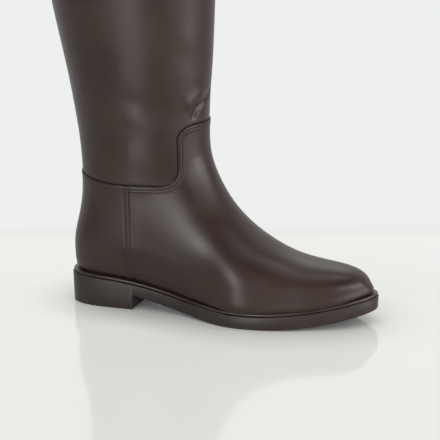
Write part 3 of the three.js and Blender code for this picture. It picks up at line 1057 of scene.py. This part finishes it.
def ringAt(xs, inset, height):
    # the outer and the inner line of the outline, from heel to toe
    inside = np.clip(xs, inset, last["length"] - inset)
    z = height(inside)
    outer = np.stack([inside, outlineAt(inside, inset, -1), z], 1)
    inner = np.stack([inside, outlineAt(inside, inset, 1), z], 1)
    return outer, inner


def raised(line, amount):
    return lambda x: line(x) + amount


def layered(name, layers, xs, material, closed=False):
    # layers are (inset, height): bridges them from the first up, and closes the two ends unless it is a ring
    vertices, faces = [], []
    share = (xs - xs[0]) / (xs[-1] - xs[0])
    for inset, height in layers:
        outer, inner = ringAt(inset + (last["length"] - 2 * inset) * share, inset, height)
        vertices.append(np.concatenate([outer, inner[::-1]]))
    size = 2 * len(xs)
    count = len(layers)
    for k in range(count if closed else count - 1):
        a, b = k * size, ((k + 1) % count) * size
        for i in range(size):
            j = (i + 1) % size
            faces.append([a + i, a + j, b + j, b + i])
    stacked = np.concatenate(vertices)
    if not closed:
        for start, flip in ((0, True), ((count - 1) * size, False)):
            stacked, cap = capped(stacked, start, size)
            faces += [face[::-1] if flip else face for face in cap]
    made = meshObject(name, place(stacked), faces, {}, material)
    return cleaned(made)


def capped(points, start, size, columns=10):
    # faces across one outline, in rows from its outer line to its inner one
    lines = []
    for i in range(size // 2):
        low, high = start + i, start + size - 1 - i
        share = np.arange(1, columns)[:, None] / columns
        between = points[low] + (points[high] - points[low]) * share
        lines.append([low, *range(len(points), len(points) + columns - 1), high])
        points = np.vstack([points, between])
    faces = []
    for near, far in zip(lines, lines[1:]):
        faces += [[near[c], far[c], far[c + 1], near[c + 1]] for c in range(columns)]
    return points, faces


def cleaned(made):
    # merges doubled points and turns the faces outwards
    body = bmesh.new()
    body.from_mesh(made.data)
    bmesh.ops.remove_doubles(body, verts=body.verts, dist=2e-6)
    bmesh.ops.dissolve_degenerate(body, dist=1e-7, edges=body.edges)
    bmesh.ops.recalc_face_normals(body, faces=body.faces)
    body.to_mesh(made.data)
    body.free()
    made.data.polygons.foreach_set("use_smooth", [True] * len(made.data.polygons))
    return made


def heelUnder(x):
    # the heel's underside, its breast and the arch in one line
    breast = last["heelLength"]
    rise = np.interp(x - breast, sole["breast"], sole["breastRise"])
    return np.where(x <= breast, 0.0, underside(np.maximum(x, breast)) * rise)


def halfUp(x):
    return (heelUnder(x) + soleTop(x)) / 2


def makeOutsole():
    taper, edge = sole["taper"], sole["edge"]
    middle = edge * sole["edgeMiddle"]
    outerStep, innerStep = sole["step"]
    layers = [
        (taper + edge, heelUnder),
        (taper + middle, raised(heelUnder, middle)),
        (taper, raised(heelUnder, edge)),
        (taper * 0.5, halfUp),
        *[(inset, raised(soleTop, rise)) for inset, rise in sole["topEdge"]],
        (outerStep, soleTop),
        (innerStep, raised(feather, sole["stepGap"])),
    ]
    xs = stations(0, [last["heelLength"] + across for across in sole["breast"]])
    return layered("outsoleRubber", layers, xs, soleRubber)


# inset and height above the outsole, round the section of the strip
weltSection = [
    (11.5, 0.15), (2.0, 0.15), (1.25, 0.4), (0.85, 0.9), (0.8, 1.5), (1.05, 2.1), (1.6, 2.55),
    (2.4, 2.7), (3.2, 2.5), (3.8, 2.2), (4.6, 2.1), (11.5, 2.3),
]
# inset and height above the top of the welt, up the insole's edge
insoleSection = [(6.6, -0.1), (8.3, 2.7), (9.0, 3.2)]

outsole = makeOutsole()
weltLayers = [(inset, raised(soleTop, rise)) for inset, rise in weltSection]
welt = layered("weltStrip", weltLayers, stations(0), weltFinish, closed=True)
insoleLayers = [(inset, raised(feather, rise)) for inset, rise in insoleSection]
insole = layered("insoleSock", insoleLayers, stations(0), insoleFinish)
print("sole", {o.name: len(o.data.polygons) for o in (outsole, welt, insole)})


# stitches: a chain of short threads along each row

thread = {
    "pitch": 2.4,
    "length": 1.6,
    "thickness": 0.6,
    "sink": 0.05,
    "vary": (0.9, 1.08),  # smallest and largest share of the size
    "seed": 7,
    "sides": (7, 6),  # faces round a thread and along it
}
# dark blobs halfway between the threads: painted shade of the needle holes
hole = {"pitch": 2.4, "length": 1.05, "thickness": 0.85}
rowEnds = {
    "vampTop": 0.8,  # how far before or past the quarter's seam a row stops
    "heelTop": -1.5,
    "side": -1.5,  # the same at the shaft's seam
    "foot": 9,  # and above the welt
}
collarStitch = {"below": 5.5, "lastRow": 85, "points": 401}  # below the collar, height of the last's top row


def rowPoints(line, lift):
    t, u = line.T
    base = lastPoint(t, u)
    up = lift(base) - thread["sink"]
    return base + outwardAt(t, u) * up[:, None]


def stitchTree():
    tree = bpy.data.node_groups.new("stitchRow", "GeometryNodeTree")
    face = tree.interface
    face.new_socket("Geometry", in_out="INPUT", socket_type="NodeSocketGeometry")
    for name in ("Pitch", "Length", "Thickness"):
        face.new_socket(name, in_out="INPUT", socket_type="NodeSocketFloat")
    face.new_socket("Material", in_out="INPUT", socket_type="NodeSocketMaterial")
    face.new_socket("Geometry", in_out="OUTPUT", socket_type="NodeSocketGeometry")
    row = Graph(tree)
    names = ("Geometry", "Pitch", "Length", "Thickness", "Material")
    mesh, pitch, length, thickness, material = (row.node("NodeGroupInput", output=name) for name in names)
    curve = row.node("GeometryNodeMeshToCurve", None, {"Mesh": mesh})
    spaced = row.node("GeometryNodeResampleCurve", {"mode": "LENGTH"}, {"Curve": curve, "Length": pitch})
    sides, rings = thread["sides"]
    ball = row.node("GeometryNodeMeshUVSphere", None, {"Segments": sides, "Rings": rings, "Radius": 0.5})
    size = row.node("ShaderNodeCombineXYZ", None, {0: length, 1: thickness, 2: thickness})
    stitch = row.node("GeometryNodeTransform", None, {"Geometry": ball, "Scale": size})
    tangent = row.node("GeometryNodeInputTangent")
    turn = row.node("FunctionNodeAlignRotationToVector", {"axis": "X"}, {"Vector": tangent})
    least, most = thread["vary"]
    drawn = {2: least, 3: most, "Seed": thread["seed"]}
    vary = row.node("FunctionNodeRandomValue", {"data_type": "FLOAT"}, drawn, 1)
    inputs = {"Points": spaced, "Instance": stitch, "Rotation": turn, "Scale": vary}
    real = row.node("GeometryNodeRealizeInstances", None, {
        "Geometry": row.node("GeometryNodeInstanceOnPoints", None, inputs),
    })
    smooth = row.node("GeometryNodeSetShadeSmooth", None, {"Geometry": real})
    painted = row.node("GeometryNodeSetMaterial", None, {"Geometry": smooth, "Material": material})
    row.node("NodeGroupOutput", None, {"Geometry": painted})
    return tree


def stitched(name, runs, tree, look, material):
    vertices, edges = [], []
    for run in runs:
        start = len(vertices)
        vertices += [tuple(v) for v in place(run)]
        edges += [(start + i, start + i + 1) for i in range(len(run) - 1)]
    mesh = bpy.data.meshes.new(name + "Path")
    mesh.from_pydata(vertices, edges, [])
    path = bpy.data.objects.new(name + "Path", mesh)
    bpy.context.scene.collection.objects.link(path)
    modifier = path.modifiers.new("stitches", "NODES")
    modifier.node_group = tree
    sockets = {item.name: item.identifier for item in tree.interface.items_tree if item.in_out == "INPUT"}
    for key in ("pitch", "length", "thickness"):
        modifier[sockets[key.capitalize()]] = look[key] / 1000
    modifier[sockets["Material"]] = material
    evaluated = path.evaluated_get(bpy.context.evaluated_depsgraph_get())
    made = bpy.data.objects.new(name, bpy.data.meshes.new_from_object(evaluated))
    bpy.context.scene.collection.objects.link(made)
    bpy.data.objects.remove(path)
    return made


def rowBeside(line, gap, inward):
    # the line moved over by gap, to the side where inward is larger
    moved = [stepAside(line, way * gap) for way in (-1, 1)]
    return max(moved, key=lambda row: inward(linePoints(row)).mean())


def shortened(run, amount):
    # starts and ends the row further in
    along = np.concatenate([[0], np.cumsum(np.linalg.norm(np.diff(run, axis=0), axis=1))])
    spots = np.linspace(amount, along[-1] - amount, len(run))
    return np.stack([np.interp(spots, along, run[:, k]) for k in range(3)], 1)


def trimRun(line, keep):
    return line[keep(linePoints(line))]


def onVampTop(points):
    return vampSide(points) > rowEnds["vampTop"]


def onHeelTop(points):
    return vampSide(points) < rowEnds["heelTop"]


def onSide(points):
    clearOfWelt = points[:, 2] > feather(points[:, 0]) + rowEnds["foot"]
    return (shaftSide(points) < rowEnds["side"]) & clearOfWelt


def sideRuns(side):
    # two rows along the vamp's top edge, two down its rear edge, and one round the heel
    seam = denser(shaftLines[side], seamPoints["stitched"])
    topLines = [rowBeside(seam, gap, belowShaft) for gap in seams["topRows"]]
    sideLines = [rowBeside(quarterLines[side], gap, vampSide) for gap in seams["sideRows"]]
    runs = [rowPoints(trimRun(line, onVampTop), vampLift) for line in topLines]
    runs += [rowPoints(trimRun(line, onSide), vampLift) for line in sideLines]
    return [*runs, rowPoints(trimRun(topLines[0], onHeelTop), quarterLift)]


def collarRun():
    turn = np.linspace(-1, 1, collarStitch["points"])
    row = collarRow - collarStitch["below"] / collarStitch["lastRow"]
    return rowPoints(np.stack([np.full_like(turn, row), turn], 1), shaftLift)


rowTree = stitchTree()
runs = [*sideRuns(-1), *sideRuns(1), collarRun()]
stitches = stitched("stitches", runs, rowTree, thread, threadFinish)
# painted shade of the needle holes: dark blobs set halfway between the stitches
halfway = [shortened(run, thread["pitch"] / 2) for run in runs]
paintedHoleShade = stitched("holeShades", halfway, rowTree, hole, holeShadeFinish)
print("stitches", len(stitches.data.polygons), len(paintedHoleShade.data.polygons))

# piece, the node that it stands for, material slot
pieces = [
    (vamp, "vamp", "upper_leather"),
    (quarter, "quarter", "upper_leather"),
    (shaft, "shaft", "upper_leather"),
    (lining, None, "upper_leather"),
    (outsole, "outsole", "sole_rubber"),
    (welt, "welt", "welt_leather"),
    (insole, "insole", "insole_leather"),
    (stitches, None, "upper_leather"),
    (paintedHoleShade, None, "upper_leather"),
]
for piece, node, slot in pieces:
    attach(piece, "root")
    if node:
        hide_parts(node)

camera = {
    "aim": (130, 0, 60),  # millimetres
    "azimuth": 20.27,
    "elevation": 17.36,
    "roll": 0.73,
    "distance": 1539.4,
    "focal": 149.8,
    "sensor": 36,
    "shift": (0.0055, 0.0467),
    "clip": (0.05, 20),  # metres
}


def direction(azimuth, elevation):
    a, e = math.radians(azimuth), math.radians(elevation)
    return Vector((math.sin(a) * math.cos(e), -math.cos(a) * math.cos(e), math.sin(e)))


def makeCamera():
    data = bpy.data.cameras.new("camera")
    made = bpy.data.objects.new("camera", data)
    bpy.context.scene.collection.objects.link(made)
    a, r = math.radians(camera["azimuth"]), math.radians(camera["roll"])
    back = direction(camera["azimuth"], camera["elevation"])
    right = Vector((math.cos(a), math.sin(a), 0))
    up = back.cross(right)
    turnedRight = right * math.cos(r) - up * math.sin(r)
    turnedUp = right * math.sin(r) + up * math.cos(r)
    turn = Matrix((turnedRight, turnedUp, back)).transposed().to_4x4()
    spot = Vector(place(camera["aim"])) + back * camera["distance"] / 1000
    made.matrix_world = Matrix.Translation(spot) @ turn
    data.sensor_width = camera["sensor"]
    data.lens = camera["focal"]
    data.shift_x, data.shift_y = camera["shift"]
    data.clip_start, data.clip_end = camera["clip"]
    bpy.context.scene.camera = made


makeCamera()


# floor and light
studio = {
    "floor": (0.13, 0.127, 0.124, 1),
    "floorSize": 3,  # metres from the middle to each side
    "floorRoughness": 0.1,
    "floorGlow": (0.56, 0.565, 0.535, 1),
    "paintedShadowGlow": (0.03, 0.03, 0.035, 1),  # painted contact shadow: the floor's glow close under the boot
    "shadeReach": 0.05,
    "shadeSamples": 8,
    "wall": (0.855, 0.86, 0.86, 1),
    "horizon": 0.22,  # metres behind the boot's middle where the floor turns into the wall
    "soft": 0.03,
    "room": (0.98, 1, 0.99, 1),
    "roomTurn": (-0.1, 0.7),  # from the camera's side to behind the boot
    "behind": 0.86,  # brightness of the room behind the boot, and on the camera's side
    "front": 0.0,
    "lampAim": 0.15,  # height that the lamps point at
}
# degrees round from the camera and up, distance, width and height in metres, power in watts
lamps = {
    "left": {"at": (-26, 7, 1.5), "size": (0.45, 0.4), "power": 12, "colour": (0.98, 1, 0.99)},
    "farLeft": {"at": (-40, 16, 1.5), "size": (0.4, 0.4), "power": 4, "colour": (0.98, 1, 0.99)},
    "rightOfCamera": {"at": (32, 12, 1.5), "size": (0.4, 0.4), "power": 4.5, "colour": (1, 1, 1)},
    "right": {"at": (56, 7, 1.5), "size": (0.45, 0.4), "power": 10, "colour": (1, 0.99, 0.99)},
    "farRight": {"at": (76, 14, 1.5), "size": (0.4, 0.4), "power": 7, "colour": (1, 0.98, 0.98)},
    "highRight": {"at": (90, 70, 1.5), "size": (0.4, 0.4), "power": 4, "colour": (1, 1, 1)},
    "highLeft": {"at": (-90, 70, 1.5), "size": (0.4, 0.4), "power": 12, "colour": (1, 1, 1)},
    "overhead": {"at": (0, 75, 1.5), "size": (0.4, 0.4), "power": 2, "colour": (1, 1, 1)},
    "back": {"at": (178, 38, 1.6), "size": (1.2, 0.5), "power": 5, "colour": (1, 1, 1)},
}


def wayBack(graph, spot):
    # how far a spot lies behind the boot's middle, as the camera sees it
    inputs = {0: spot, 1: -direction(camera["azimuth"], 0)}
    return graph.node("ShaderNodeVectorMath", {"operation": "DOT_PRODUCT"}, inputs, "Value")


def makeFloor():
    size = studio["floorSize"]
    mesh = bpy.data.meshes.new("floor")
    corners = [(-size, -size, 0), (size, -size, 0), (size, size, 0), (-size, size, 0)]
    mesh.from_pydata(corners, [], [(0, 1, 2, 3)])
    made = bpy.data.objects.new("floor", mesh)
    bpy.context.scene.collection.objects.link(made)
    paint, ground = newMaterial("floorPaint")
    edge, soft = studio["horizon"], studio["soft"]
    beyond = wayBack(ground, ground.spot()).between(edge - soft, edge + soft)
    shade = {"Distance": studio["shadeReach"]}
    # painted contact shadow: ambient occlusion dims the floor's glow next to the boot
    clear = ground.node("ShaderNodeAmbientOcclusion", {"samples": studio["shadeSamples"]}, shade, "AO")
    gloss = ground.node("ShaderNodeBsdfPrincipled", None, {
        "Base Color": ground.mix(beyond, studio["floor"], (0, 0, 0, 1)),
        "Roughness": studio["floorRoughness"],
        "Emission Color": ground.mix(clear, studio["paintedShadowGlow"], studio["floorGlow"]),
        "Emission Strength": 1.0,
    }, "BSDF")
    plain = ground.node("ShaderNodeEmission", None, {"Color": studio["wall"]}, "Emission")
    ground.end(ground.node("ShaderNodeMixShader", None, {0: beyond, 1: gloss, 2: plain}, "Shader"))
    mesh.materials.append(paint)


def makeLamp(name, lamp):
    azimuth, elevation, distance = lamp["at"]
    data = bpy.data.lights.new(name, "AREA")
    data.shape = "RECTANGLE"
    data.size, data.size_y = lamp["size"]
    data.energy, data.color = lamp["power"], lamp["colour"]
    back = direction(camera["azimuth"] + azimuth, elevation)
    spot = Vector((0, 0, studio["lampAim"])) + back * distance
    made = bpy.data.objects.new(name, data)
    made.matrix_world = Matrix.Translation(spot) @ back.to_track_quat("Z", "Y").to_matrix().to_4x4()
    bpy.context.scene.collection.objects.link(made)


def makeWorld():
    # bright behind the boot and dark on the camera's side, with a plain wall for the camera to see
    world = bpy.data.worlds.new("studio")
    bpy.context.scene.world = world
    world.use_nodes = True
    sky = Graph(world.node_tree)
    back = wayBack(sky, sky.node("ShaderNodeTexCoord", output="Generated"))
    glow = back.between(*studio["roomTurn"], To_Min=studio["front"], To_Max=studio["behind"])
    room = sky.node("ShaderNodeBackground", None, {"Color": studio["room"], "Strength": glow})
    wall = sky.node("ShaderNodeBackground", None, {"Color": studio["wall"]})
    seen = sky.node("ShaderNodeLightPath", output="Is Camera Ray")
    sky.end(sky.node("ShaderNodeMixShader", None, {0: seen, 1: room, 2: wall}), "ShaderNodeOutputWorld")


makeFloor()
makeWorld()
for name, lamp in lamps.items():
    makeLamp(name, lamp)
bpy.context.scene.view_settings.view_transform = "Standard"
print("studio")
